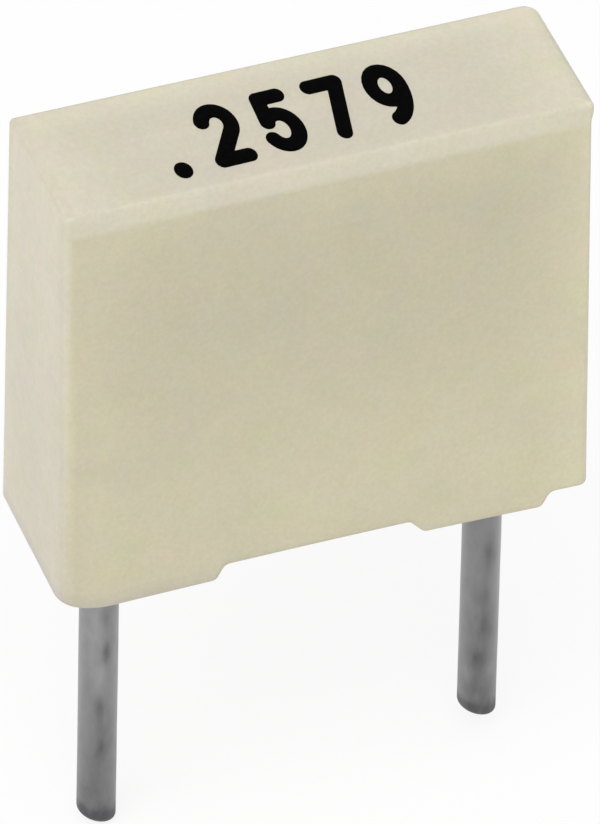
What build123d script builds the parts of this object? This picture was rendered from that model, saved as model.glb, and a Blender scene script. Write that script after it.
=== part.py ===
"""Boxed film capacitor with two wire leads.

A drafted plastic cup, open at the bottom, holds a flattened winding of metallised film. Both ends of the
winding carry a sprayed metal contact, a wire lead is welded to each, and resin fills the rest of the cup.

Frame, in millimetres: the origin lies on the board plane, on which the feet stand, midway between the two
leads. +X runs from the left lead to the right one, +Z points from the board to the marked top face.
"""

from build123d import *
import math
import os

# Case: outer sizes are at the open end, and its walls lean in towards the top.
CASE_LENGTH = 7.0
CASE_WIDTH = 2.31
CASE_HEIGHT = 6.26
DRAFT_ANGLE = 1.1
WALL = 0.35
ROOF = 0.4
CORNER_RADIUS = 0.23
TOP_RADIUS = 0.08
RIM_RADIUS = 0.07
CAVITY_RADIUS = 0.12

# Feet: the stretches of the two long walls that reach down to the board. The left pair rises to the left end
# of the case in a gentle ramp; every other end of a foot is steep.
FOOT_HEIGHT = 0.22
FOOT_LENGTH_LEFT = 2.18
FOOT_LENGTH_RIGHT = 1.87
FOOT_END_GAP_RIGHT = 0.53
FOOT_FLANK_ANGLE = 62.0
FOOT_RAMP_ANGLE = 25.0
FOOT_BLEND = 0.1

# Leads: round wire, cut to two lengths. Below the board plane it is drawn thicker by TIN_COAT all round,
# which makes the free stretch a round face of its own. That the tin ends there is assumed: on most such
# leads it covers the whole wire.
LEAD_PITCH = 5.08
LEAD_DIAMETER = 0.5
TIN_COAT = 0.01
LEAD_LENGTH_LEFT = 4.52
LEAD_LENGTH_RIGHT = 4.22
LEAD_TIP_RADIUS = 0.09

# Wound element: a layer of resin, ELEMENT_GAP thick, lies between it and the cup's walls and roof.
ELEMENT_GAP = 0.15
SPRAY_THICKNESS = 0.28
WELD_DEPTH = 0.06
WELD_TOP_GAP = 0.4

# Resin: its open face is set back inside the rim and covers the element's lower edge.
RESIN_SETBACK = 0.13
RESIN_COVER = 0.9
MENISCUS = 0.07
MENISCUS_LIP = 0.03
COLLAR_WIDTH = 0.12
COLLAR_HEIGHT = 0.09
COLLAR_LIP = 0.02

LEFT, RIGHT = -1, 1

cavity_length = CASE_LENGTH - 2 * WALL
cavity_width = CASE_WIDTH - 2 * WALL
cavity_top = CASE_HEIGHT - ROOF
roof_width = cavity_width - 2 * cavity_top * math.tan(math.radians(DRAFT_ANGLE))

foot_left = -0.5 * CASE_LENGTH + 0.5 * FOOT_LENGTH_LEFT
foot_right = 0.5 * CASE_LENGTH - FOOT_END_GAP_RIGHT - 0.5 * FOOT_LENGTH_RIGHT
resin_face = FOOT_HEIGHT + RESIN_SETBACK

element_bottom = resin_face + RESIN_COVER
element_height = cavity_top - ELEMENT_GAP - element_bottom
element_middle = element_bottom + 0.5 * element_height
weld_top = element_bottom + element_height - WELD_TOP_GAP
element_thickness = roof_width - 2 * ELEMENT_GAP
wire_diameter = LEAD_DIAMETER - 2 * TIN_COAT
spray_outside = 0.5 * (LEAD_PITCH - wire_diameter) + WELD_DEPTH
spray_inside = spray_outside - SPRAY_THICKNESS

os.makedirs("parts", exist_ok=True)


def upright(shape):
    """The edges of a shape that run between two leaning walls."""
    return shape.edges().filter_by(lambda edge: abs(edge.tangent_at(0.5).Z) > 0.9)


def cup_inside():
    """The room inside the cup, from the board plane to the underside of the roof."""
    with BuildPart() as room:
        with BuildSketch(Plane.XY):
            Rectangle(cavity_length, cavity_width)
        extrude(amount=cavity_top, taper=DRAFT_ANGLE)
        fillet(upright(room), CAVITY_RADIUS)
        fillet(room.faces().sort_by(Axis.Z)[-1].edges(), CAVITY_RADIUS)
    return room.part


def face_dip():
    """The shallow dip in the resin's open face, between the walls that the wet resin climbed."""
    with BuildPart() as dip:
        with BuildSketch(Plane.XY):
            RectangleRounded(cavity_length - 2 * MENISCUS_LIP, cavity_width - 2 * MENISCUS_LIP, CAVITY_RADIUS)
        extrude(amount=resin_face)
        fillet(dip.faces().sort_by(Axis.Z)[-1].edges(), MENISCUS)
    return dip.part


def on_outer_rim(edge):
    """True for the lower outer edges of the walls, feet included."""
    middle = edge.center()
    low = middle.Z < FOOT_HEIGHT + RIM_RADIUS
    beside_long_wall = abs(middle.Y) > 0.5 * CASE_WIDTH - CORNER_RADIUS
    beside_end_wall = abs(middle.X) > 0.5 * CASE_LENGTH - CORNER_RADIUS
    return low and (beside_long_wall or beside_end_wall)


def end_spray(side):
    """One sprayed contact on an end of the winding, with the groove that its lead is welded into."""
    with BuildPart() as spray:
        with BuildSketch(Plane.YZ.offset(side * spray_inside)):
            with Locations((0, element_middle)):
                SlotOverall(element_height, element_thickness, rotation=90)
        extrude(amount=side * SPRAY_THICKNESS)
        with BuildSketch(Plane.XY):
            with Locations((side * 0.5 * LEAD_PITCH, 0)):
                Circle(0.5 * wire_diameter)
        extrude(amount=weld_top, mode=Mode.SUBTRACT)
    return spray


def lead(side, length):
    """One round wire, from its cut tip to the top of its weld, with its coat's step at the board plane."""
    with BuildPart() as wire:
        with BuildSketch(Plane.XY):
            with Locations((side * 0.5 * LEAD_PITCH, 0)):
                Circle(0.5 * wire_diameter)
        extrude(amount=weld_top)
        with BuildSketch(Plane.XY):
            with Locations((side * 0.5 * LEAD_PITCH, 0)):
                Circle(0.5 * LEAD_DIAMETER)
        extrude(amount=-length)
        fillet(wire.edges().sort_by(Axis.Z)[0], LEAD_TIP_RADIUS)
    return wire


# ---- case ----------------------------------------------------------------------------------------------

with BuildSketch(Plane.XZ) as side_outline:
    with Locations((0, FOOT_HEIGHT)):
        Rectangle(2 * CASE_LENGTH, CASE_HEIGHT, align=(Align.CENTER, Align.MIN))
    with Locations((foot_left, FOOT_HEIGHT)):
        Trapezoid(
            FOOT_LENGTH_LEFT,
            FOOT_HEIGHT,
            FOOT_FLANK_ANGLE,
            FOOT_RAMP_ANGLE,
            rotation=180,
            align=(Align.CENTER, Align.MIN),
        )
    with Locations((foot_right, FOOT_HEIGHT)):
        Trapezoid(
            FOOT_LENGTH_RIGHT, FOOT_HEIGHT, FOOT_FLANK_ANGLE, rotation=180, align=(Align.CENTER, Align.MIN)
        )
    foot_corners = side_outline.vertices().filter_by_position(
        Axis.X, -CASE_LENGTH / 2, CASE_LENGTH / 2, inclusive=(False, False)
    )
    fillet(foot_corners, FOOT_BLEND)

with BuildPart() as case:
    with BuildSketch(Plane.XY):
        RectangleRounded(CASE_LENGTH, CASE_WIDTH, CORNER_RADIUS)
    extrude(amount=CASE_HEIGHT, taper=DRAFT_ANGLE)
    fillet(case.faces().sort_by(Axis.Z)[-1].edges(), TOP_RADIUS)
    extrude(side_outline.sketch, amount=CASE_WIDTH, both=True, mode=Mode.INTERSECT)
    fillet(case.edges().filter_by(on_outer_rim), RIM_RADIUS)
    add(cup_inside(), mode=Mode.SUBTRACT)

case.part.label = "case"
export_step(case.part, "parts/case.step")

# ---- leads and wound element ---------------------------------------------------------------------------

lead_left = lead(LEFT, LEAD_LENGTH_LEFT)
lead_left.part.label = "lead_left"
export_step(lead_left.part, "parts/lead_left.step")

lead_right = lead(RIGHT, LEAD_LENGTH_RIGHT)
lead_right.part.label = "lead_right"
export_step(lead_right.part, "parts/lead_right.step")

with BuildPart() as film_winding:
    with BuildSketch(Plane.YZ):
        with Locations((0, element_middle)):
            SlotOverall(element_height, element_thickness, rotation=90)
    extrude(amount=spray_inside, both=True)

film_winding.part.label = "film_winding"
export_step(film_winding.part, "parts/film_winding.step")

end_spray_left = end_spray(LEFT)
end_spray_left.part.label = "end_spray_left"
export_step(end_spray_left.part, "parts/end_spray_left.step")

end_spray_right = end_spray(RIGHT)
end_spray_right.part.label = "end_spray_right"
export_step(end_spray_right.part, "parts/end_spray_right.step")

# ---- resin ---------------------------------------------------------------------------------------------

with BuildPart() as resin_fill:
    add(cup_inside())
    with BuildSketch(Plane.XY):
        Rectangle(CASE_LENGTH, CASE_WIDTH)
    extrude(amount=resin_face - MENISCUS, mode=Mode.SUBTRACT)
    add(face_dip(), mode=Mode.SUBTRACT)
    for side in (LEFT, RIGHT):
        with Locations((side * 0.5 * LEAD_PITCH, 0, resin_face)):
            Cone(
                bottom_radius=0.5 * wire_diameter + COLLAR_LIP,
                top_radius=0.5 * wire_diameter + COLLAR_WIDTH,
                height=COLLAR_HEIGHT,
                align=(Align.CENTER, Align.CENTER, Align.MAX),
            )
    for embedded in (film_winding, end_spray_left, end_spray_right, lead_left, lead_right):
        add(embedded.part, mode=Mode.SUBTRACT)

resin_fill.part.label = "resin_fill"
export_step(resin_fill.part, "parts/resin_fill.step")
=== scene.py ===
"""Dressed model of a boxed film capacitor: moulded case, printed top, wire leads, potting resin and stage."""

import math

import bpy
import numpy as np
from bpy.props import FloatProperty, FloatVectorProperty, PointerProperty, StringProperty
from mathutils import Matrix, Vector, noise


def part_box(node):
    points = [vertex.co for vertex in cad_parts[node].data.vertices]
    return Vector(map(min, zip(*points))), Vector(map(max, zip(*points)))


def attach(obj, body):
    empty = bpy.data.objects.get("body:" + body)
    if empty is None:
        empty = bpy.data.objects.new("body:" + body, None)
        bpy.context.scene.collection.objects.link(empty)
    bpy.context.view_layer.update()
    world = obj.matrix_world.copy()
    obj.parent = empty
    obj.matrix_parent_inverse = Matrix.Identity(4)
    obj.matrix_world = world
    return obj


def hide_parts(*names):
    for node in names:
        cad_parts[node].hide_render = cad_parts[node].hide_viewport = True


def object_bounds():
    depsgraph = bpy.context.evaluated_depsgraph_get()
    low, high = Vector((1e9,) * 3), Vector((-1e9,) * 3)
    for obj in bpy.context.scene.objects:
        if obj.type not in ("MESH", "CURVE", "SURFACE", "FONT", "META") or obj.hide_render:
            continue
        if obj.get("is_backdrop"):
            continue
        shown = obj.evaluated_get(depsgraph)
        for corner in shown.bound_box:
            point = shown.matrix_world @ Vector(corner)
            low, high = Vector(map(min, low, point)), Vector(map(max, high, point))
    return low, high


bl_info = {
    "name": "Boxed Film Capacitor",
    "version": (1, 0, 0),
    "blender": (4, 5, 0),
    "location": "View3D > Sidebar > Capacitor",
    "description": "Dresses the packed film capacitor with its case, print, leads, resin and stage",
    "category": "Add Mesh",
}

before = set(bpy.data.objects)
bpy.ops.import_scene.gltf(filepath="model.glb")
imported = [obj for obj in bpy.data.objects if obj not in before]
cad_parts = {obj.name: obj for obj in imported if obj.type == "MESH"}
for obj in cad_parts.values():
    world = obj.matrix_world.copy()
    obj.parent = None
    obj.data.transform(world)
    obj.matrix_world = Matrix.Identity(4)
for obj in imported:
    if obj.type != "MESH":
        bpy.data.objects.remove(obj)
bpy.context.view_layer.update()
case_low, case_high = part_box("case")


# ---------------- settings


def number(name, description, default, **limits):
    return FloatProperty(name=name, description=description, default=default, **limits)


def length(name, description, default, low=0.0, high=0.1):
    return number(
        name, description, default, min=low, max=high, subtype="DISTANCE", unit="LENGTH", precision=6,
    )


def offset(name, description, default):
    return length(name, description, default, low=-0.1)


def angle(name, description, degrees):
    return number(name, description, math.radians(degrees), subtype="ANGLE", unit="ROTATION")


def share(name, description, default):
    return number(name, description, default, min=0.0, max=1.0, subtype="FACTOR")


def several(name, description, default, **limits):
    return FloatVectorProperty(
        name=name, description=description, default=default, size=len(default), **limits,
    )


def colour(name, description, default):
    return several(name, description, default, min=0.0, max=1.0, subtype="COLOR")


def gain(name, where, default):
    return several(name, "What the colour is multiplied by " + where, default, min=0.0, max=4.0)


def corner_radii(name, description, default):
    description += ", anticlockwise from the front left one, seen from above"
    return several(name, description, default, min=0.0, unit="LENGTH", precision=6)


class CaseSettings(bpy.types.PropertyGroup):
    draft: angle("Draft", "Lean of each wall, inwards towards the top", 1.1)
    wall: length("Wall", "Thickness of the walls", 0.00035)
    roof: length("Roof", "Thickness of the top", 0.0004)
    corner_radius: length("Corner Radius", "Nominal radius of the upright edges at the open end", 0.00023)
    open_radii: corner_radii(
        "Open Radii", "Radius of each upright edge at the open end", (0.00023, 0.00013, 0.00022, 0.00021),
    )
    top_radii: corner_radii(
        "Top Radii", "Radius of each upright edge at the top", (0.00011, 0.00006, 0.0002, 0.00006),
    )
    right_setback: length("Right Setback", "How far the right end wall sinks in below the roof", 0.00003)
    top_radius: length("Top Radius", "Radius of the edge round the top face", 0.00008)
    rim_radius: length("Rim Radius", "Radius of the outer edge of the open rim", 0.00007)
    inner_radius: length("Inner Radius", "Radius of the cavity's upright edges", 0.00012)
    foot_height: length("Foot Height", "How far the feet stand below the rest of the rim", 0.00022)
    foot_left: length("Left Foot", "Length of a left foot, from the left end of the case", 0.00218)
    foot_right: length("Right Foot", "Length of a right foot where it joins the rim", 0.00187)
    gap_right: length("Right Gap", "From the right end of the case to the right feet", 0.00053)
    flank: angle("Foot Flank", "Slope of a foot's steep ends", 62.0)
    ramp: angle("Foot Ramp", "Slope of the ramp at the case's left end", 25.0)
    soft_flank: angle("Soft Flank", "Slope of the right feet's inner ends", 50.0)
    foot_blend: length("Foot Blend", "Radius where a foot's end turns", 0.0001)
    ramp_blend: length("Ramp Blend", "Radius where the ramp meets a left foot", 0.0011)
    arch: length("Arch", "How much the rim's underside rises in the middle", 0.000014)
    # Painted light and shade: the wide faces' cream is painted darker where the winding lies behind the wall,
    # and the top and the ends get a paler, cooler cream for the light and the reflection of the pale
    # surroundings that they catch.
    shaded_body_colour: colour("Body Colour", "Cream of the wide faces over the winding", (0.522, 0.487, 0.356))
    lit_cap_colour: colour("Cap Colour", "More neutral cream of the top and the ends", (0.575, 0.54, 0.44))
    # Painted light: a pale band on the wide faces just under the top, for light that comes through the roof
    # and out of the wall.
    roof_glow_colour: colour("Band Colour", "Pale cream where the wide faces cover the roof", (0.63, 0.6, 0.475))
    # Painted light: the gain of the paler parts of the case.
    painted_light_gain: gain("Pale Gain", "towards the edges", (1.2, 1.205, 1.17))
    # Painted shade that dims the highlight along the ridges.
    ridge_shade_gain: gain("Ridge Gain", "along the ridges", (0.845, 0.85, 0.87))
    # Painted shade along the lower rim, where its rounding faces down.
    rim_shade_gain: gain("Rim Gain", "along the lower rim", (0.87, 0.86, 0.95))
    # Painted sheen: paler and cooler where the surface is seen edge-on.
    painted_sheen_gain: gain("Glancing Gain", "seen edge-on", (1.3, 1.35, 1.6))
    speck_gain: gain("Speck Gain", "in the finest specks", (0.945, 0.945, 0.93))
    roughness: share("Roughness", "Roughness of the matt moulding", 0.5)
    glow: share("Glow", "How much light spreads through the plastic", 0.12)


class PrintSettings(bpy.types.PropertyGroup):
    digits: StringProperty(name="Digits", description="Plain digits on top: 2, 5, 7 or 9", default="2579")
    digit_height: length("Digit Height", "Height of a digit between the middles of its strokes", 0.00093)
    digit_width: length("Digit Width", "Width of a digit between the middles of its strokes", 0.00034)
    pitch: length("Pitch", "From one digit to the next", 0.000723)
    stroke: length("Stroke", "Width of an upright stroke", 0.00019)
    stretch: number("Stretch", "How much thicker a level stroke is", 1.4)
    dot_radius: length("Dot Radius", "Half width of the dot before the digits", 0.000113)
    dot_reach: length("Dot Reach", "From the middle of the digits to the dot", 0.00176)
    centre_x: offset("Centre X", "Middle of the digits along the case", 0.00003)
    base_y: offset("Base Y", "Foot of the digits across the case", -0.000565)
    tilt: angle("Tilt", "Turn of the row of digits on the face", 1.3)
    ink_height: length("Ink Height", "Thickness of the ink", 0.000007)
    ink_colour: colour("Ink Colour", "Colour of the ink", (0.0008, 0.0008, 0.0008))


class LeadSettings(bpy.types.PropertyGroup):
    radius: length("Radius", "Radius of the tinned wire", 0.00025)
    bare_radius: length("Bare Radius", "Radius above the board plane, where the tin is taken to end", 0.00024)
    tip_radius: length("Tip Radius", "Radius of the edge round a lead's tip", 0.00009)
    lean_left: number("Left Lean", "Lean of the left lead towards +X, per length", -0.0096)
    lean_right: number("Right Lean", "Lean of the right lead towards +X, per length", 0.0028)
    shift: offset("Shift", "How far both leads are moved towards +X below the case", -0.000026)
    longer_left: length("Longer Left", "What the left lead has beyond its nominal length", 0.00002)
    longer_right: length("Longer Right", "What the right lead has beyond its nominal length", 0.000045)
    slant: number("Slant", "Slant of a cut tip, falling towards +X", 0.3)
    unevenness: share("Unevenness", "Relief of the dipped tin, as a share of the radius", 0.008)
    tin_colour: colour("Tin Colour", "Dull grey of the tin", (0.325, 0.325, 0.33))
    patch_and_tip_shade_colour: colour("Patch Colour", "Darker patches on the tin", (0.135, 0.135, 0.14))
    # Also the colour of the painted highlights.
    streak_and_highlight_colour: colour("Streak Colour", "Paler streaks along the lead", (0.44, 0.44, 0.445))
    # Also the colour of the painted shade at a lead's tip.
    mottle_gain: gain("Mottle Gain", "in the mottle", (0.86, 0.86, 0.865))
    # Painted shade where the wire is seen square on, which leaves its sides paler as a painted reflection.
    square_on_shade_gain: gain("Facing Gain", "seen square on", (0.68, 0.68, 0.68))
    roughness: share("Roughness", "Roughness of the tin", 0.42)


class InsideSettings(bpy.types.PropertyGroup):
    resin_colour: colour("Resin Colour", "Colour of the potting resin", (0.46, 0.41, 0.25))
    resin_roughness: share("Resin Roughness", "Roughness of the cured resin", 0.28)
    bubble_spacing: length("Bubble Spacing", "From one small bubble in the resin to the next", 0.00042)
    film_colour: colour("Film Colour", "Colour of the metallised film", (0.6, 0.61, 0.62))
    film_pitch: length("Film Pitch", "About a sixth of the way from one band of film to the next", 0.00004)
    spray_colour: colour("Spray Colour", "Colour of the sprayed end metal", (0.42, 0.42, 0.43))


class StageSettings(bpy.types.PropertyGroup):
    azimuth: angle("Azimuth", "Turn of the camera round the part, to its left", 20.8407)
    elevation: angle("Elevation", "Height of the camera above the horizon", 41.2072)
    roll: angle("Roll", "Roll of the camera", 1.108)
    distance: length("Distance", "From the camera to the point it looks at", 0.1260868, 0.01, 2.0)
    lens: number("Lens", "Focal length of the camera", 446.738, min=10, subtype="DISTANCE_CAMERA")
    aim: several(
        "Aim", "The point that the camera looks at", (0.0000457, 0.0, 0.00141646),
        subtype="TRANSLATION", unit="LENGTH", precision=6,
    )
    ambient: share("Ambient", "Strength of the soft light from all round", 0.62)
    key_power: number("Key Power", "Power of the large lamp overhead", 2.3, unit="POWER")
    side_power: number("Side Power", "Power of the lamp on the left", 0.7, unit="POWER")
    floor_size: length("Floor Size", "Width of the floor", 1.2, 0.1, 5.0)
    floor_colour: colour("Floor Colour", "Colour of the pale floor", (0.86, 0.86, 0.86))
    floor_white: share("Floor White", "How much of the floor's shade is left out where it is seen", 0.84)


# ---------------- materials


class Nodes:
    """A node tree under construction, with short ways to add to it."""

    def __init__(self, tree):
        self.tree = tree
        tree.nodes.clear()

    def node(self, kind, **settings):
        made = self.tree.nodes.new("ShaderNode" + kind)
        for key, value in settings.items():
            setattr(made, key, value)
        return made

    def link(self, source, target):
        self.tree.links.new(source, target)

    def math(self, operation, first, second):
        made = self.node("Math", operation=operation)
        self.link(first, made.inputs[0])
        self.link(second, made.inputs[1])
        return made.outputs[0]

    def mix_shader(self, share, first, second):
        """Two shaders mixed; share is a socket or a number."""
        made = self.node("MixShader")
        if isinstance(share, float):
            made.inputs[0].default_value = share
        else:
            self.link(share, made.inputs[0])
        self.link(first, made.inputs[1])
        self.link(second, made.inputs[2])
        return made.outputs[0]

    def seen_directly(self):
        """1 for what the camera sees straight, in a reflection or through something clear, else 0."""
        path = self.node("LightPath")
        seen = path.outputs["Is Camera Ray"]
        for ray in ("Is Glossy Ray", "Is Transmission Ray"):
            seen = self.math("MAXIMUM", seen, path.outputs[ray])
        return seen


class Finish(Nodes):
    """A material under construction."""

    def __init__(self, name):
        self.material = bpy.data.materials.new(name)
        self.material.use_nodes = True
        super().__init__(self.material.node_tree)
        self.output = self.node("OutputMaterial")
        self.shader = self.node("BsdfPrincipled")
        self.link(self.shader.outputs[0], self.output.inputs["Surface"])
        self.place = self.node("TexCoord").outputs["Object"]

    def stretched(self, x, y, z):
        """The place on the object, with each direction scaled."""
        mapping = self.node("Mapping")
        mapping.inputs["Scale"].default_value = (x, y, z)
        self.link(self.place, mapping.inputs["Vector"])
        return mapping.outputs[0]

    def noise(self, size, detail=3.0, roughness=0.55, place=None, offset=0.0):
        """Cloudy pattern from 0 to 1 whose patches are about size across, in metres."""
        made = self.node("TexNoise", noise_dimensions="4D")
        made.inputs["Scale"].default_value = 1.0 / size
        made.inputs["Detail"].default_value = detail
        made.inputs["Roughness"].default_value = roughness
        made.inputs["W"].default_value = offset
        self.link(place or self.place, made.inputs["Vector"])
        return made.outputs["Fac"]

    def spread(self, value, low, high, to_low=0.0, to_high=1.0):
        """A value's stretch from low to high, brought smoothly to another range."""
        made = self.node("MapRange", interpolation_type="SMOOTHSTEP")
        for socket, number in zip(("From Min", "From Max", "To Min", "To Max"), (low, high, to_low, to_high)):
            made.inputs[socket].default_value = number
        self.link(value, made.inputs["Value"])
        return made.outputs["Result"]

    def attribute(self, name):
        """A value from 0 to 1 that the mesh holds for each point."""
        return self.node("Attribute", attribute_name=name).outputs["Fac"]

    def facing(self, blend):
        """How edge-on the surface is seen, from 0 to 1."""
        made = self.node("LayerWeight")
        made.inputs["Blend"].default_value = blend
        return made.outputs["Facing"]

    def mix(self, share, first, second, blend="MIX"):
        """Two colours mixed; each is a socket or three numbers."""
        made = self.node("Mix", data_type="RGBA", blend_type=blend)
        for socket, value in ((made.inputs[0], share), (made.inputs[6], first), (made.inputs[7], second)):
            if isinstance(value, bpy.types.NodeSocket):
                self.link(value, socket)
            elif isinstance(value, (int, float)):
                socket.default_value = value
            else:
                socket.default_value = (*value, 1.0)
        return made.outputs[2]

    def gained(self, share, base, gain):
        """A colour that is multiplied by gain where share is 1."""
        return self.mix(share, base, self.mix(1.0, base, gain, "MULTIPLY"))

    def bump(self, height, depth, before=None):
        """A relief of that depth, in metres, laid on any relief before it."""
        made = self.node("Bump")
        made.inputs["Strength"].default_value = 1.0
        made.inputs["Distance"].default_value = depth
        self.link(height, made.inputs["Height"])
        if before is not None:
            self.link(before, made.inputs["Normal"])
        return made.outputs["Normal"]

    def finish(self, base, roughness, normal, **constants):
        for socket, value in (("Base Color", base), ("Roughness", roughness), ("Normal", normal)):
            self.link(value, self.shader.inputs[socket])
        for name, value in constants.items():
            self.shader.inputs[name.replace("_", " ")].default_value = value
        return self.material


def scaled(colour, factor):
    return [factor * part for part in colour]


WAVE_RATE = 20  # a wave texture's radians for each unit of length, at scale 1

# The case's soft clouds: size in metres, place in the noise and what the colour is multiplied by.
CLOUDS = (
    (0.0005, 4.0, (1.03, 0.985, 1.0)),
    (0.0006, 9.0, (0.975, 0.995, 0.94)),
    (0.00022, 14.0, (1.015, 1.01, 0.975)),
    (0.0009, 19.0, (0.975, 0.972, 1.0)),
)


def case_plastic(s):
    """Matt cream plastic: fine moulded grain, faint warm and green clouds, paler towards the edges as painted
    light, with a painted sheen edge-on and painted shade on the ridges and the rim.
    """
    made = Finish("cream_case_plastic")
    # Painted light: the top and the ends take the paler, cooler cream.
    base = made.mix(made.attribute("lit_cap_share"), s.shaded_body_colour, s.lit_cap_colour)
    drift = made.spread(made.noise(0.0014, 2.0, offset=1.0), 0.3, 0.7, 0.8, 1.1)
    # Painted light: paler towards the edges, the rim and the top.
    base = made.gained(made.math("MULTIPLY", made.attribute("painted_light_tone"), drift), base, s.painted_light_gain)
    # Painted light through the roof, in a band under the top of the wide faces.
    base = made.mix(made.attribute("painted_roof_glow"), base, s.roof_glow_colour)
    # Painted shade that dims the highlight along the ridges.
    base = made.gained(made.attribute("painted_ridge_shade"), base, s.ridge_shade_gain)
    # Painted shade along the lower rim.
    base = made.gained(made.attribute("painted_rim_shade"), base, s.rim_shade_gain)
    # Painted sheen: paler and cooler where the surface is seen edge-on.
    base = made.gained(made.spread(made.facing(0.5), 0.76, 1.0), base, s.painted_sheen_gain)
    for size, offset, tint in CLOUDS:
        cloud = made.spread(made.noise(size, offset=offset), 0.42, 0.72)
        base = made.gained(cloud, base, tint)
    speck = made.spread(made.noise(0.00006, 2.0, 0.6, offset=2.0), 0.3, 0.7)
    base = made.gained(speck, base, s.speck_gain)
    grain = made.noise(0.00004, 3.0, 0.6)
    swell = made.noise(0.0011, 2.0, offset=3.0)
    normal = made.bump(grain, 0.0000035, made.bump(swell, 0.000012))
    patches = made.noise(0.0002, offset=6.0)
    rough = made.spread(patches, 0.3, 0.7, s.roughness - 0.05, s.roughness + 0.06)
    return made.finish(
        base, rough, normal, Subsurface_Weight=s.glow, Subsurface_Radius=(1.0, 0.8, 0.5),
        Subsurface_Scale=0.00035, IOR=1.5,
    )


def print_ink(s):
    """Black pad-printed ink, slightly glossy, with a fine orange peel."""
    made = Finish("black_print_ink")
    cloud = made.noise(0.00008)
    worn = scaled(s.ink_colour, 2.2)
    base = made.mix(made.spread(cloud, 0.4, 0.75), s.ink_colour, worn)
    rough = made.spread(made.noise(0.00003, 2.0, offset=5.0), 0.3, 0.7, 0.5, 0.62)
    return made.finish(base, rough, made.bump(cloud, 0.0000015), Specular_IOR_Level=0.01)


def tinned_wire(s):
    """Dull dipped tin: soft dark patches, pale streaks along the wire, painted highlights, painted shade
    where the wire is seen square on and at its tip, and fine drawn lines.
    """
    made = Finish("dull_tinned_wire")
    along = made.stretched(1.0, 1.0, 0.42)
    lines = made.stretched(1.0, 1.0, 0.07)

    def tone(name):
        """A lead's own marks, with their borders broken up by a cloud."""
        cloud = made.spread(made.noise(0.00012, 2.0, 0.5, along, 2.0), 0.25, 0.75, 0.75, 1.2)
        return made.math("MULTIPLY", made.attribute(name), cloud)

    streaks = made.spread(made.noise(0.00018, 1.0, 0.4, lines, 7.0), 0.5, 0.78, 0.0, 0.35)
    mottle = made.spread(made.noise(0.0001, 2.0, 0.5, along, 4.0), 0.3, 0.75, 0.0, 0.7)
    base = made.mix(streaks, s.tin_colour, s.streak_and_highlight_colour)
    # Painted highlights.
    base = made.mix(tone("painted_highlight"), base, s.streak_and_highlight_colour)
    # Dark patches, and painted shade at the tip.
    base = made.mix(tone("dark_patch_and_tip_shade"), base, s.patch_and_tip_shade_colour)
    base = made.gained(mottle, base, s.mottle_gain)
    # Painted shade where the wire is seen square on, leaving its sides paler as a painted reflection.
    side = made.spread(made.facing(0.45), 0.0, 0.8)
    base = made.mix(side, made.mix(1.0, base, s.square_on_shade_gain, "MULTIPLY"), base)
    rough = made.spread(tone("dark_patch_and_tip_shade"), 0.0, 1.0, s.roughness, s.roughness + 0.15)
    drawn = made.noise(0.00003, 2.0, 0.5, lines, 1.0)
    lumps = made.noise(0.0002, 2.0, 0.5, along, 3.0)
    normal = made.bump(drawn, 0.0000012, made.bump(lumps, 0.000008))
    return made.finish(base, rough, normal, Metallic=0.85)


def potting_resin(s):
    """Cured resin: warm cream, slightly glossy, with tiny bubbles and a slow waviness."""
    made = Finish("cured_potting_resin")
    cloud = made.spread(made.noise(0.0009, offset=1.5), 0.3, 0.75)
    base = made.mix(cloud, s.resin_colour, scaled(s.resin_colour, 0.8))
    bubbles = made.node("TexVoronoi", feature="F1")
    bubbles.inputs["Scale"].default_value = 1 / s.bubble_spacing
    made.link(made.place, bubbles.inputs["Vector"])
    pits = made.spread(bubbles.outputs["Distance"], 0.05, 0.14)
    base = made.mix(pits, scaled(s.resin_colour, 0.62), base)
    patches = made.noise(0.0004, 2.0, offset=8.0)
    rough = made.spread(patches, 0.3, 0.7, s.resin_roughness, s.resin_roughness + 0.14)
    waves = made.bump(made.noise(0.0011, 2.0, offset=3.5), 0.00005)
    return made.finish(
        base, rough, made.bump(pits, 0.000012, waves), Subsurface_Weight=0.15,
        Subsurface_Radius=(1.0, 0.7, 0.35), Subsurface_Scale=0.0004,
    )


def wound_film(s):
    """Edges of wound metallised film: close bright and dark bands that run round the winding."""
    made = Finish("wound_metallised_film")
    bands = made.node("TexWave", wave_type="BANDS", bands_direction="Y")
    bands.inputs["Scale"].default_value = 1 / (WAVE_RATE * s.film_pitch)
    bands.inputs["Distortion"].default_value = 0.6
    made.link(made.place, bands.inputs["Vector"])
    tone = made.spread(bands.outputs["Fac"], 0.1, 0.9)
    base = made.mix(tone, scaled(s.film_colour, 0.7), s.film_colour)
    rough = made.spread(made.noise(0.0003), 0.3, 0.7, 0.28, 0.42)
    return made.finish(base, rough, made.bump(tone, 0.000004), Metallic=0.9)


def sprayed_metal(s):
    """Flame-sprayed end metal: coarse, matt and granular."""
    made = Finish("sprayed_end_metal")
    grain = made.noise(0.00006, 4.0, 0.65)
    base = made.mix(made.spread(grain, 0.3, 0.7), scaled(s.spray_colour, 0.6), s.spray_colour)
    rough = made.spread(made.noise(0.00015, offset=2.0), 0.3, 0.7, 0.62, 0.8)
    return made.finish(base, rough, made.bump(grain, 0.00002), Metallic=0.8)


# ---------------- mesh helpers


def put(name, data):
    """A new object of the scene that holds data."""
    made = bpy.data.objects.new(name, data)
    bpy.context.scene.collection.objects.link(made)
    return made


def make_piece(name, points, faces, material):
    mesh = bpy.data.meshes.new(name)
    mesh.from_pydata([tuple(point) for point in points], [], faces)
    mesh.validate()
    mesh.update()
    mesh.polygons.foreach_set("use_smooth", [True] * len(mesh.polygons))
    piece = put(name, mesh)
    mesh.materials.append(material)
    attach(piece, "root")
    return piece


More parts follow.
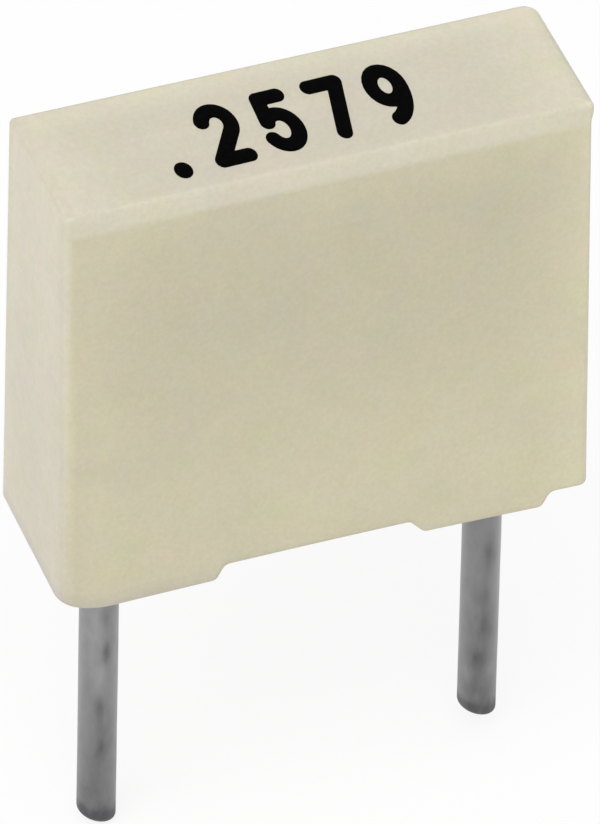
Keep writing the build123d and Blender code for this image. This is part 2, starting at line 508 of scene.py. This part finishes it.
def ring_faces(rings, count, first=0):
    """Quads between rings of count points each, which follow one another in the list of points."""
    faces = []
    for ring in range(rings - 1):
        low = first + ring * count
        for i in range(count):
            j = (i + 1) % count
            faces.append((low + i, low + j, low + count + j, low + count + i))
    return faces


def write_tones(piece, names, tones):
    """Hold each point's values on the mesh, where the materials read them."""
    for name, values in zip(names, zip(*tones)):
        piece.data.attributes.new(name, "FLOAT", "POINT").data.foreach_set("value", values)


def quarter(steps):
    """The angles of a quarter turn in equal steps, with both ends."""
    return [math.pi / 2 * i / steps for i in range(steps + 1)]


def rounding(radius, turn):
    """How far a rounded edge is from the two faces that it joins, at an angle of its quarter turn."""
    return radius * (1 - math.cos(turn)), radius * (1 - math.sin(turn))


def smooth(value):
    """0 up to 0, 1 from 1, and an even curve between."""
    value = min(max(value, 0.0), 1.0)
    return value * value * (3 - 2 * value)


def near(*gaps):
    """1 where every gap is 0, down to 0 where any of them is 1."""
    return math.prod(1 - smooth(gap) for gap in gaps)


def keep_faces_flat(piece):
    modifier = piece.modifiers.new("flat_faces", "WEIGHTED_NORMAL")
    modifier.weight = 100
    modifier.thresh = 0.01


# ---------------- case


SAME_PLACE = 1e-7  # points closer than this, in metres, count as one

# Rings on the top face, as shares of its half width, and down the outside, closer together near the top.
TOP_RINGS = (0.85, 0.7, 0.55, 0.42, 0.3, 0.22, 0.18)
WALL_RINGS = (
    0.006, 0.014, 0.022, 0.03, 0.038, 0.046, 0.056, 0.07, 0.09, 0.12, 0.17, 0.24,
    0.32, 0.42, 0.52, 0.62, 0.72, 0.81, 0.88, 0.93, 0.965, 0.985, 0.994,
)
END_POINTS = 11
RIM_EDGE = 0.00002  # radius of the rim's inner edge

# The arch of the underside, along the case in shares of its half length.
ARCH_MIDDLE, ARCH_REACH = -0.23, 0.57
# The right end wall starts to sink in this far below the top, and is at its depth this much lower.
SETBACK_START, SETBACK_FADE = 0.00014, 0.00018
# Share of a long side whose points stay in line while the corners' radius changes with the height.
STEADY = 0.92
# Shares of half a turn by which the cavity's corner is rounded by a long side's stations and by the corner's.
LONG_BEND, CORNER_BEND = 0.35, 0.15

# Borders of the fields of painted light and shade: as shares of the height, then in metres.
ROOF_LINE, ROOF_FADE = 0.943, 0.022
EDGE_FADE, END_MARGIN = 0.00012, 0.00002
RIDGE_REACH, RIM_REACH = 0.0001, 0.00017


def rounded_line(corners, radius, steps, span):
    """A line through the corners, each rounded to radius or to its own third number: points no further apart
    than span, and their downward normals."""
    radii = [corner[2] if len(corner) > 2 else radius for corner in corners]
    corners = [Vector(corner[:2]) for corner in corners]
    points, normals = [], []

    def add(point, direction):
        if not points or (point - points[-1]).length > SAME_PLACE:
            points.append(point.copy())
            normals.append(Vector((direction.y, -direction.x)))

    def run(start, end):
        direction = (end - start).normalized()
        parts = max(1, math.ceil((end - start).length / span))
        for i in range(parts + 1):
            add(start.lerp(end, i / parts), direction)

    start = corners[0]
    for before, corner, after, radius in zip(corners, corners[1:], corners[2:], radii[1:]):
        into, out = (corner - before).normalized(), (after - corner).normalized()
        turn = math.atan2(into.cross(out), into.dot(out))
        reach = radius * math.tan(abs(turn) / 2)
        entry = corner - into * reach
        run(start, entry)
        centre = entry + Vector((-into.y, into.x)) * math.copysign(radius, turn)
        for i in range(1, steps):
            swing = Matrix.Rotation(turn * i / steps, 2)
            add(centre + swing @ (entry - centre), swing @ into)
        start = corner + out * reach
    run(start, corners[-1])
    return points, normals


class CaseShape:
    """The drafted cup, as a loop of stations round its rim and the rings that run through them."""

    def __init__(self, settings):
        self.settings = settings
        self.slope = math.tan(settings.draft)
        self.height = case_high.z
        side = self.slope * settings.rim_radius
        self.half_width = (case_high.y - case_low.y) / 2 + side
        self.half_length = (case_high.x - case_low.x) / 2 + side + self.slope * settings.foot_height
        self.straight = self.half_length - settings.corner_radius
        self.across = self.half_width - settings.corner_radius
        self.rim_points, self.rim_normals = self.foot_line()
        self.stations = self.walk_round()

    def foot_line(self):
        """The outline of the rim under a long wall, from one end of the case to the other."""
        s = self.settings
        steep, gentle, soft = (s.foot_height / math.tan(slope) for slope in (s.flank, s.ramp, s.soft_flank))
        left, right = -self.half_length, self.half_length - s.gap_right
        seam = s.foot_height - s.corner_radius * math.tan(s.ramp)
        corners = [
            (left, s.foot_height), (-self.straight, seam), (left + gentle, 0.0, s.ramp_blend),
            (left + s.foot_left - steep, 0.0), (left + s.foot_left, s.foot_height),
            (right - s.foot_right, s.foot_height), (right - s.foot_right + soft, s.arch),
            (right - steep, 0.0), (right, s.foot_height),
            (self.straight, s.foot_height), (self.half_length, s.foot_height),
        ]
        points, normals = rounded_line(corners, s.foot_blend, steps=5, span=0.00022)
        for point in points:
            over = (point.x / self.half_length - ARCH_MIDDLE) / ARCH_REACH
            point.y += s.arch * (1 - over * over)
        return points, normals

    def rim_height(self, x):
        return float(np.interp(x, [p.x for p in self.rim_points], [p.y for p in self.rim_points]))

    def walk_round(self):
        """Stations round the case: (kind, place along it, outward direction, rim point, rim normal). Only a
        foot's steep ends have a rim point; the rest of the rim is as high as the outline is at its own x."""
        level = Vector((0.0, -1.0))
        ramp_end = -self.half_length + self.settings.foot_left / 2
        line = []
        for point, normal in zip(self.rim_points, self.rim_normals):
            if abs(point.x) < self.straight + SAME_PLACE:
                plain = point.x < ramp_end or abs(normal.x) < 0.01
                line.append((point.x, None, level) if plain else (point.x, point, normal))
        out = []

        def corner(sign_x, sign_y, start):
            for degrees in range(start + 10, start + 90, 10):
                turn = math.radians(degrees)
                outward = Vector((math.cos(turn), math.sin(turn)))
                out.append(("corner", (sign_x, sign_y), outward, None, level))

        def long_side(sign_y, stretch):
            for x, point, normal in stretch:
                out.append(("long", x, Vector((0, sign_y)), point, normal))

        def end(sign_x):
            for y in np.linspace(sign_x * -self.across, sign_x * self.across, END_POINTS):
                out.append(("end", y, Vector((sign_x, 0)), None, level))

        long_side(-1, line)
        corner(1, -1, -90)
        end(1)
        corner(1, 1, 0)
        long_side(1, line[::-1])
        corner(-1, 1, 90)
        end(-1)
        corner(-1, -1, 180)
        return out

    def wall_x(self, sign_x, z):
        """How far out an end wall is at height z; below the roof the right one is sunk in a little."""
        below_roof = 1.0 - smooth((z - self.height + SETBACK_START + SETBACK_FADE) / SETBACK_FADE)
        sunk = self.settings.right_setback * below_roof if sign_x > 0 else 0.0
        return self.half_length - self.slope * z - sunk

    def upright_edge(self, sign_x, sign_y, z, inset):
        """Where an upright edge's rounding is centred at height z, and its radius, moved inwards by inset."""
        which = ((-1, -1), (1, -1), (1, 1), (-1, 1)).index((sign_x, sign_y))
        low, high = self.settings.open_radii[which], self.settings.top_radii[which]
        reach = max(low + (high - low) * z / self.height - inset, 0.000002)
        return self.wall_x(sign_x, z) - inset - reach, self.half_width - self.slope * z - inset - reach, reach

    def outer(self, station, z, inset=0.0, x=None):
        """A point on the outside at height z, moved inwards by inset."""
        kind, place, outward, _, _ = station
        if kind == "long":
            place = place if x is None else x
            side = 1 if place > 0 else -1
            limit = self.upright_edge(side, round(outward.y), z, inset)[0]
            kept = STEADY * self.straight
            along = abs(place)
            if limit < kept:
                along = along * limit / self.straight
            elif along > kept:
                along = kept + (along - kept) * (limit - kept) / (self.straight - kept)
            return Vector((side * along, outward.y * (self.half_width - self.slope * z - inset), z))
        if kind == "end":
            side = round(outward.x)
            limit = self.upright_edge(side, 1 if place > 0 else -1, z, inset)[1]
            return Vector((side * (self.wall_x(side, z) - inset), place * limit / self.across, z))
        a, b, reach = self.upright_edge(*place, z, inset)
        return Vector((place[0] * a + outward.x * reach, place[1] * b + outward.y * reach, z))

    def inner(self, station, z, outset=0.0):
        """A point on the cavity's wall at height z, moved into the wall's thickness by outset."""
        kind, place, outward, _, _ = station
        s = self.settings
        lean = self.slope * z
        radius = s.inner_radius
        a = self.half_length - s.wall - radius - lean
        b = self.half_width - s.wall - radius - lean
        reach = radius + outset
        if kind == "long":
            over = max(abs(place) - a, 0.0) / (self.straight - a)
            turn = LONG_BEND * math.pi * min(over, 1.0)
            along = min(abs(place), a) + reach * math.sin(turn)
            return Vector((math.copysign(along, place), outward.y * (b + reach * math.cos(turn)), z))
        if kind == "end":
            return Vector((outward.x * (a + reach), place * b / self.across, z))
        full = math.atan2(abs(outward.x), abs(outward.y))
        turn = LONG_BEND * math.pi + full / (math.pi / 2) * CORNER_BEND * math.pi
        return Vector((place[0] * (a + reach * math.sin(turn)), place[1] * (b + reach * math.cos(turn)), z))

    def rings(self):
        """All the rings of the cup: from the top's middle over the outside and rim to the cavity's roof."""
        s = self.settings
        rings = []

        def add(place, *values):
            rings.append([place(station, *values) for station in self.stations])

        flat = self.half_width - self.slope * self.height
        for part in TOP_RINGS:
            add(self.outer, self.height, part * flat)
        for turn in quarter(8):
            below, inset = rounding(s.top_radius, turn)
            add(self.outer, self.height - below, inset)
        for part in WALL_RINGS:
            add(self.wall, part)
        for turn in quarter(5):
            add(self.rim_round, turn)
        for part in (0.1, 0.5, 0.9):
            add(self.rim_flat, part)
        for turn in quarter(3):
            add(self.rim_inside, turn)
        top = self.height - s.roof
        for z in (0.0004, 0.0006, 0.0015, 0.003, top - 1.6 * s.inner_radius, top - s.inner_radius):
            add(self.inner, z)
        for turn in quarter(4)[1:-1]:
            inset, below = rounding(s.inner_radius, turn)
            add(self.inner, top - below, -inset)
        add(self.inner, top, -s.inner_radius * 0.96)
        return rings

    def wall(self, station, part):
        """A point on the outside wall, from the top's rounded edge at 0 to the rim's at 1."""
        start, low = self.height - self.settings.top_radius, self.rim_round(station, 0.0).z
        _, place, _, point, normal = station
        x = None if point is None else place - normal.x * self.settings.rim_radius
        return self.outer(station, start + part * (low - start), 0.0, x)

    def rim_round(self, station, turn):
        """A point on the rim's outer rounding, from the wall at 0 to the underside at a quarter turn."""
        _, place, _, point, normal = station
        inset, back = rounding(self.settings.rim_radius, turn)
        if point is not None:
            return self.outer(station, point.y - normal.y * back, inset, place - normal.x * back)
        height = self.rim_height(self.outer(station, self.settings.foot_height, inset).x)
        return self.outer(station, height + back, inset)

    def rim_flat(self, station, part):
        """A point on the rim's underside, from its outer rounding at 0 to its inner edge at 1."""
        start, end = self.rim_round(station, math.pi / 2), self.inner(station, 0.0, RIM_EDGE)
        point = start.lerp(end, part)
        point.z = self.rim_height(point.x)
        return point

    def rim_inside(self, station, turn):
        """A point on the small rounding of the rim's inner edge."""
        above, outset = rounding(RIM_EDGE, turn)
        point = self.inner(station, 0.0, outset)
        point.z = self.rim_height(point.x) + above
        return point

    def tones(self, point):
        """How neutral, how pale, how lit through the roof, how close to a ridge and how close to the rim a
        point
        is, each from 0 to 1: all of it painted light and shade, the last two painted shade."""
        lean = self.slope * point[2]
        from_side = self.half_width - lean - abs(point[1])
        from_end = self.half_length - lean - abs(point[0])
        near_top = smooth((point[2] / self.height - ROOF_LINE) / ROOF_FADE)
        off_face = smooth(from_side / EDGE_FADE)
        # Painted light: where the top's and the ends' paler cream is laid.
        cap = max(off_face, near_top, 1 - smooth((from_end - END_MARGIN) / EDGE_FADE))
        return (
            cap, self.painted_light_tone(point, off_face > 0.5, from_end), near_top * (1 - off_face),
            self.painted_ridge_shade(point, from_side, from_end), self.painted_rim_shade(point),
        )

    # Painted light: how much paler a point is painted, for the light the faces catch; the darker middle of
    # the wide faces is painted shade where the winding lies behind.
    def painted_light_tone(self, point, off_face, from_end):
        x, y, z = abs(point[0]) / self.half_length, point[1] / self.half_width, point[2] / self.height
        if off_face and from_end > RIDGE_REACH and z > 0.9:
            # The top: painted light, paler towards its ends and its back edge.
            return 1 - (1 - 0.7 * smooth((x - 0.6) / 0.38)) * (1 - 0.75 * smooth((y - 0.4) / 0.5))
        if off_face:
            # The ends: painted light, paler upwards and towards the back.
            return 0.45 * smooth((z - 0.1) / 1.1) + 0.3 * smooth((y - 0.3) / 0.7)
        # The wide faces: painted light, paler towards the ends, the rim and the top, but less so beside the
        # left edge.
        raised = smooth((z - 0.15) / 0.45)
        ends = max((x - 0.5) / 0.46, 0.0) ** 2.2 * (1.0 if point[0] > 0 else 0.45 + 0.35 * raised)
        low, high = 0.5 * smooth((0.66 - z) / 0.5), 0.4 * smooth((z - 0.8) / 0.18)
        pale = 1 - (1 - min(ends, 1.0)) * (1 - low) * (1 - high)
        if point[0] < 0:
            pale *= 1 - (0.7 - 0.4 * raised) * (1 - smooth(from_end / 0.0005))
        return pale

    def painted_ridge_shade(self, point, from_side, from_end):
        """Painted shade that dims the highlight on the ridges: strongest along the top's edges, and on the
        left along the upright edges and at the corners too.
        """
        from_top = self.height - point[2]
        ridge = near(min(from_side, from_end) / RIDGE_REACH, from_top / RIDGE_REACH)
        if point[0] > 0:
            return ridge * smooth(from_end / 0.0003)
        upright = 0.8 * near(from_side / 0.00022, from_end / 0.00016)
        corner = near((from_side + from_end + from_top - 0.0001) / 0.00012)
        return max(ridge, upright, corner)

    def painted_rim_shade(self, point):
        """Painted shade along the lower rim, where its rounding faces down: wider and stronger towards the
        left.
        """
        from_rim = point[2] - self.rim_height(point[0])
        leftwards = smooth((-point[0] - 0.0008) / 0.0014)
        return (1 - smooth(from_rim / (RIM_REACH + RIM_REACH * leftwards))) * (0.55 + 0.45 * leftwards)


class CAPACITOR_OT_case(bpy.types.Operator):
    """Build the moulded case: drafted walls, rounded edges, feet, rim and cavity"""

    bl_idname = "capacitor.build_case"
    bl_label = "Case"

    def execute(self, context):
        settings = context.scene.capacitor_case
        shape = CaseShape(settings)
        rings = shape.rings()
        count = len(shape.stations)
        points = [point for ring in rings for point in ring]
        faces = ring_faces(len(rings), count)
        faces.append(tuple(reversed(range(count))))
        faces.append(tuple(range(len(points) - count, len(points))))
        faces = [tuple(reversed(face)) for face in faces]
        piece = make_piece("moulded_case", points, faces, case_plastic(settings))
        names = ("lit_cap_share", "painted_light_tone", "painted_roof_glow", "painted_ridge_shade", "painted_rim_shade")
        write_tones(piece, names, [shape.tones(point) for point in points])
        keep_faces_flat(piece)
        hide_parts("case")
        return {"FINISHED"}


# ---------------- print


INK_CELL = 0.000012  # width of the ink's mesh cells
INK_SINK = 0.0000004  # how far the ink's border is below the top face


def arc(centre, radii, start, end):
    turns = np.radians(np.linspace(start, end, 24))
    return [(centre[0] + radii[0] * math.cos(t), centre[1] + radii[1] * math.sin(t)) for t in turns]


def digit_strokes(digit):
    """A plain digit as lines through points, in a box one wide and one high."""
    strokes = {
        "2": [arc((0.5, 0.72), (0.5, 0.28), 160, -38) + [(0.0, 0.0), (1.0, 0.0)]],
        "5": [[(0.94, 1.0), (0.2, 1.0), (0.1, 0.52)] + arc((0.47, 0.325), (0.53, 0.325), 128, -155)],
        "7": [[(0.0, 1.0), (1.0, 1.0), (0.35, 0.0)]],
        "9": [arc((0.5, 0.69), (0.5, 0.31), 0, 360), arc((0.12, 0.69), (0.88, 0.7), 0, -76)],
    }
    if digit not in strokes:
        raise ValueError(f"no strokes are drawn for {digit!r}")
    return strokes[digit]


def distance_to_lines(grid, lines):
    """Distance from each point of the grid to the nearest of the lines."""
    best = np.full(len(grid), np.inf)
    for line in lines:
        for start, end in zip(line, line[1:]):
            a, d = np.array(start), np.array(end) - np.array(start)
            t = np.clip(((grid - a) @ d) / max(float(d @ d), 1e-18), 0, 1)
            best = np.minimum(best, np.linalg.norm(grid - a - t[:, None] * d, axis=1))
    return best


def ink_patch(lines, half_stroke, cell):
    """A fine sheet that covers the lines to half_stroke on each side, with its border drawn onto that
    outline. Gives the points, their share of the way to the outline, and the faces."""
    every = np.array([point for line in lines for point in line])
    low, high = every.min(0) - half_stroke - 2 * cell, every.max(0) + half_stroke + 2 * cell
    xs, ys = np.arange(low[0], high[0], cell), np.arange(low[1], high[1], cell)
    grid = np.stack(np.meshgrid(xs, ys, indexing="ij"), -1).reshape(-1, 2)
    away = distance_to_lines(grid, lines)
    step = cell * 0.01
    slope = np.stack([
        distance_to_lines(grid + np.array(move), lines) - away for move in ((step, 0), (0, step))
    ], -1) / step
    steep = np.maximum(np.linalg.norm(slope, axis=1), 0.2)
    over = away - half_stroke
    near = np.abs(over) < 0.5 * cell
    grid[near] -= (slope / steep[:, None] ** 2 * over[:, None])[near]
    inside = over < 0.5 * cell
    share = np.where(near, 1.0, np.clip(away / half_stroke, 0, 1))
    rows = len(ys)
    used, faces = {}, []
    for i in range(len(xs) - 1):
        for j in range(rows - 1):
            corners = [i * rows + j, (i + 1) * rows + j, (i + 1) * rows + j + 1, i * rows + j + 1]
            kept = [corner for corner in corners if inside[corner]]
            if len(kept) >= 3:
                faces.append([used.setdefault(corner, len(used)) for corner in kept])
    order = list(used)
    return grid[order], share[order], faces


class CAPACITOR_OT_print(bpy.types.Operator):
    """Lay the printed dot and plain digits on the top face"""

    bl_idname = "capacitor.build_print"
    bl_label = "Top Print"

    def execute(self, context):
        s = context.scene.capacitor_print
        tilt = Matrix.Rotation(s.tilt, 2)
        half = s.stroke / 2
        material = print_ink(s)
        count = len(s.digits)
        marks = []
        for place, digit in enumerate(s.digits):
            left = s.centre_x + (place - (count - 1) / 2) * s.pitch - s.digit_width / 2
            lines = [
                [(left + x * s.digit_width, y * s.digit_height / s.stretch) for x, y in line]
                for line in digit_strokes(digit)
            ]
            marks.append(("print_digit_" + str(place + 1), lines, half))
        dot_x = s.centre_x - s.dot_reach
        marks.append(("print_dot", [[(dot_x, 0.0), (dot_x + SAME_PLACE, 0.0)]], s.dot_radius))
        for name, lines, half_stroke in marks:
            flat, share, faces = ink_patch(lines, half_stroke, INK_CELL)
            points = []
            for (x, y), part in zip(flat, share):
                spot = tilt @ Vector((x, y * s.stretch))
                lift = s.ink_height * (1 - part**4) - INK_SINK
                points.append((spot.x, spot.y + s.base_y, case_high.z + lift))
            make_piece(name, points, faces, material)
        return {"FINISHED"}


# ---------------- leads


# A lead's soft marks: millimetres below the board plane, direction about +Z in degrees, half height in
# millimetres, half width in degrees, and strength; dark ones have a negative strength, and the pale ones are
# painted highlights.
LEAD_MARKS = {
    "lead_left": (
        (1.0, -88, 0.18, 16, -0.3), (1.6, -84, 0.17, 14, -0.75), (2.5, -105, 0.2, 18, -0.5),
        (3.1, -97, 0.36, 26, -0.5), (4.1, -115, 0.6, 70, -0.25), (1.0, -120, 0.9, 28, 1.0),
        (2.0, -108, 0.22, 14, 0.8),
    ),
    "lead_right": (
        (1.5, -86, 0.3, 18, -0.6), (2.15, -100, 0.22, 22, -0.5), (2.7, -98, 0.34, 32, -0.5),
        (3.25, -112, 0.22, 26, -0.6), (3.8, -106, 0.35, 45, -0.35), (3.5, -70, 0.14, 16, 0.9),
        (3.5, -145, 0.15, 16, 0.7),
    ),
}


LEAD_SIDES, LEAD_RINGS = 56, 90
COAT_END, COAT_FULL = 0.00004, 0.00001  # heights between which the tin thickens the wire
SHIFT_ABOVE = 0.0003  # from here down to the board plane the shift sets in
SLANT_ABOVE = 0.0006  # how far above its tip a lead's points start to slant
# The dark reach above a tip is painted shade.
TIP_DARK, TIP_FADE = 0.00036, 0.00034  # height of the dark reach above a tip, and of its border
RELIEF_SIZE = 0.00025  # size of the tin's lumps


class CAPACITOR_OT_leads(bpy.types.Operator):
    """Build the two tinned wire leads, each from its welded end in the case to its cut tip"""

    bl_idname = "capacitor.build_leads"
    bl_label = "Leads"

    def execute(self, context):
        s = context.scene.capacitor_leads
        material = tinned_wire(s)
        own = {"lead_left": (s.lean_left, s.longer_left), "lead_right": (s.lean_right, s.longer_right)}
        for node, (lean, longer) in own.items():
            low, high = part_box(node)
            middle = (low + high) / 2
            self.build_lead(s, node, Vector((middle.x, 0.0)), low.z - longer, high.z, lean, material)
        return {"FINISHED"}

    def build_lead(self, s, node, axis, tip, top, lean, material):
        line = [
            (0.0, top), (s.bare_radius * 0.96, top), (s.bare_radius, top - 0.00001),
            (s.bare_radius, COAT_END), (s.radius, COAT_FULL),
        ]
        line += [(s.radius, z) for z in np.linspace(-0.00005, tip + s.tip_radius + 0.00002, LEAD_RINGS)]
        for turn in quarter(8):
            inset, above = rounding(s.tip_radius, turn)
            line.append((s.radius - inset, tip + above))
        line += [((s.radius - s.tip_radius) * part, tip) for part in (0.9, 0.7, 0.45, 0.2)]
        points = [(axis.x, axis.y, top)]
        tones = [(0.0, 0.0)]
        for radius, z in line[1:]:
            for i in range(LEAD_SIDES):
                turn = 2 * math.pi * i / LEAD_SIDES
                x, y = math.cos(turn), math.sin(turn)
                uneven = noise.noise(Vector((axis.x + x * s.radius, y * s.radius, 0.45 * z)) / RELIEF_SIZE)
                swell = 1.0 + s.unevenness * (uneven - 0.5) * (1.0 if z < 0 else 0.0)
                points.append(self.bent(s, axis, radius * swell * x, radius * swell * y, z, lean, tip))
                tones.append(self.marks(node, z, math.degrees(turn), tip))
        last = len(points) - LEAD_SIDES
        points.append(self.bent(s, axis, 0.0, 0.0, tip, lean, tip))
        tones.append((0.9, 0.0))
        faces = ring_faces(len(line) - 1, LEAD_SIDES, 1)
        faces += [(0, 1 + (i + 1) % LEAD_SIDES, 1 + i) for i in range(LEAD_SIDES)]
        faces += [(len(points) - 1, last + i, last + (i + 1) % LEAD_SIDES) for i in range(LEAD_SIDES)]
        faces = [tuple(reversed(face)) for face in faces]
        piece = make_piece(node + "_wire", points, faces, material)
        write_tones(piece, ("dark_patch_and_tip_shade", "painted_highlight"), tones)
        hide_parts(node)

    def marks(self, node, z, turn, tip):
        """How dark and how pale the tin's marks are at a height and direction, each from 0 to 1; the pale
        marks are painted highlights and the darkness at the tip is painted shade.
        """
        # Darker further down the lead, and painted shade at the tip.
        dark = 0.3 * smooth((-z - 0.0015) / 0.003) + smooth((tip + TIP_DARK - z) / TIP_FADE)
        pale = 0.0
        for depth, direction, tall, wide, strength in LEAD_MARKS[node]:
            around = (turn - direction + 180) % 360 - 180
            amount = strength * math.exp(-((z * 1000 + depth) / tall) ** 2 - (around / wide) ** 2)
            dark, pale = dark + max(-amount, 0.0), pale + max(amount, 0.0)
        return min(dark, 1.0), min(pale, 1.0)

    def bent(self, s, axis, x, y, z, lean, tip):
        """A point of a straight lead, moved by its shift, its lean and, near the tip, the cut's slant."""
        out = smooth((SHIFT_ABOVE - z) / SHIFT_ABOVE)
        near_tip = smooth((tip + SLANT_ABOVE - z) / SLANT_ABOVE)
        return axis.x + x + s.shift * out + lean * max(-z, 0.0), axis.y + y, z - s.slant * x * near_tip


# ---------------- inside


class CAPACITOR_OT_inside(bpy.types.Operator):
    """Give the resin, the winding and its sprayed ends their finishes"""

    bl_idname = "capacitor.dress_inside"
    bl_label = "Resin and Winding"

    def execute(self, context):
        s = context.scene.capacitor_inside
        spray = sprayed_metal(s)
        finishes = {
            "resin_fill": potting_resin(s), "film_winding": wound_film(s),
            "end_spray_left": spray, "end_spray_right": spray,
        }
        for node, material in finishes.items():
            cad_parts[node].data.materials[0] = material
        return {"FINISHED"}


# ---------------- stage


LAMP_DISTANCE = 0.6
FLOOR_GAP = 0.000002  # how far the floor is below the lowest point of the part
FLOOR_CELLS = 12


class CAPACITOR_OT_stage(bpy.types.Operator):
    """Set up the pale floor, soft lamps, white surroundings and camera"""

    bl_idname = "capacitor.build_stage"
    bl_label = "Stage"

    def execute(self, context):
        s = context.scene.capacitor_stage
        context.scene.view_settings.view_transform = "Standard"
        self.build_floor(s)
        self.build_surroundings(context, s)
        aim = Vector(s.aim)
        self.build_lamp("key_lamp", aim, s.key_power, direction=(-0.30, -0.42, 0.86), size=0.55)
        self.build_lamp("side_lamp", aim, s.side_power, direction=(-0.93, -0.25, 0.27), size=0.45)
        self.build_camera(context, s, aim)
        return {"FINISHED"}

    def build_floor(self, s):
        half, z = s.floor_size / 2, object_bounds()[0].z - FLOOR_GAP
        steps = np.linspace(-half, half, FLOOR_CELLS + 1)
        points = [(x, y, z) for x in steps for y in steps]
        row = len(steps)
        corners = [i * row + j for i in range(FLOOR_CELLS) for j in range(FLOOR_CELLS)]
        faces = [(first, first + row, first + row + 1, first + 1) for first in corners]
        mesh = bpy.data.meshes.new("floor")
        mesh.from_pydata(points, [], faces)
        floor = put("floor", mesh)
        made = Finish("pale_floor")
        made.tree.nodes.remove(made.shader)
        cloud = made.spread(made.noise(0.03), 0.3, 0.7)
        base = made.mix(cloud, s.floor_colour, scaled(s.floor_colour, 0.985))
        diffuse = made.node("BsdfDiffuse")
        made.link(base, diffuse.inputs["Color"])
        shaded, white = diffuse.outputs[0], made.node("Emission").outputs[0]
        seen = made.mix_shader(s.floor_white, shaded, white)
        above = made.mix_shader(made.seen_directly(), shaded, seen)
        from_below = made.node("NewGeometry").outputs["Backfacing"]
        surface = made.mix_shader(from_below, above, made.node("BsdfTransparent").outputs[0])
        made.link(surface, made.output.inputs["Surface"])
        mesh.materials.append(made.material)
        floor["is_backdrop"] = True

    def build_surroundings(self, context, s):
        world = bpy.data.worlds.new("soft_surroundings")
        context.scene.world = world
        world.use_nodes = True
        made = Nodes(world.node_tree)
        soft, white = made.node("Background"), made.node("Background")
        for background, strength in ((soft, s.ambient), (white, 1.0)):
            background.inputs["Color"].default_value = (1, 1, 1, 1)
            background.inputs["Strength"].default_value = strength
        surface = made.mix_shader(made.seen_directly(), soft.outputs[0], white.outputs[0])
        made.link(surface, made.node("OutputWorld").inputs["Surface"])

    def build_lamp(self, name, aim, power, direction, size):
        lamp = bpy.data.lights.new(name, "AREA")
        lamp.shape, lamp.size, lamp.energy = "DISK", size, power
        stand = put(name, lamp)
        away = Vector(direction).normalized()
        stand.location = aim + away * LAMP_DISTANCE
        stand.rotation_euler = (-away).to_track_quat("-Z", "Y").to_euler()
        stand.visible_camera = False

    def build_camera(self, context, s, aim):
        data = bpy.data.cameras.new("camera")
        data.lens, data.sensor_width = s.lens, 36.0
        data.clip_start, data.clip_end = 0.005, 5.0
        camera = put("camera", data)
        cos_a, sin_a = math.cos(s.azimuth), math.sin(s.azimuth)
        cos_e, sin_e = math.cos(s.elevation), math.sin(s.elevation)
        back = Vector((-sin_a * cos_e, -cos_a * cos_e, sin_e))
        level = Vector((cos_a, -sin_a, 0.0))
        up = back.cross(level)
        right = level * math.cos(s.roll) + up * math.sin(s.roll)
        up = up * math.cos(s.roll) - level * math.sin(s.roll)
        turn = Matrix((right, up, back)).transposed()
        camera.matrix_world = Matrix.Translation(aim + back * s.distance) @ turn.to_4x4()
        context.scene.camera = camera


class CAPACITOR_PT_panel(bpy.types.Panel):
    """Lists the pieces and their settings"""

    bl_idname = "CAPACITOR_PT_panel"
    bl_label = "Film Capacitor"
    bl_space_type = "VIEW_3D"
    bl_region_type = "UI"
    bl_category = "Capacitor"

    def draw(self, context):
        for operator, settings, _ in STEPS:
            box = self.layout.box()
            box.operator(operator.bl_idname)
            group = getattr(context.scene, settings)
            for name in group.__annotations__:
                box.prop(group, name)


STEPS = (
    (CAPACITOR_OT_case, "capacitor_case", CaseSettings),
    (CAPACITOR_OT_print, "capacitor_print", PrintSettings),
    (CAPACITOR_OT_leads, "capacitor_leads", LeadSettings),
    (CAPACITOR_OT_inside, "capacitor_inside", InsideSettings),
    (CAPACITOR_OT_stage, "capacitor_stage", StageSettings),
)


def register():
    for operator, name, group in STEPS:
        bpy.utils.register_class(group)
        setattr(bpy.types.Scene, name, PointerProperty(type=group))
        bpy.utils.register_class(operator)
    bpy.utils.register_class(CAPACITOR_PT_panel)


def unregister():
    bpy.utils.unregister_class(CAPACITOR_PT_panel)
    for operator, name, group in reversed(STEPS):
        bpy.utils.unregister_class(operator)
        delattr(bpy.types.Scene, name)
        bpy.utils.unregister_class(group)


def main():
    register()
    bpy.ops.capacitor.build_case()
    bpy.ops.capacitor.build_print()
    bpy.ops.capacitor.build_leads()
    bpy.ops.capacitor.dress_inside()
    bpy.ops.capacitor.build_stage()


if __name__ == "__main__":
    main()
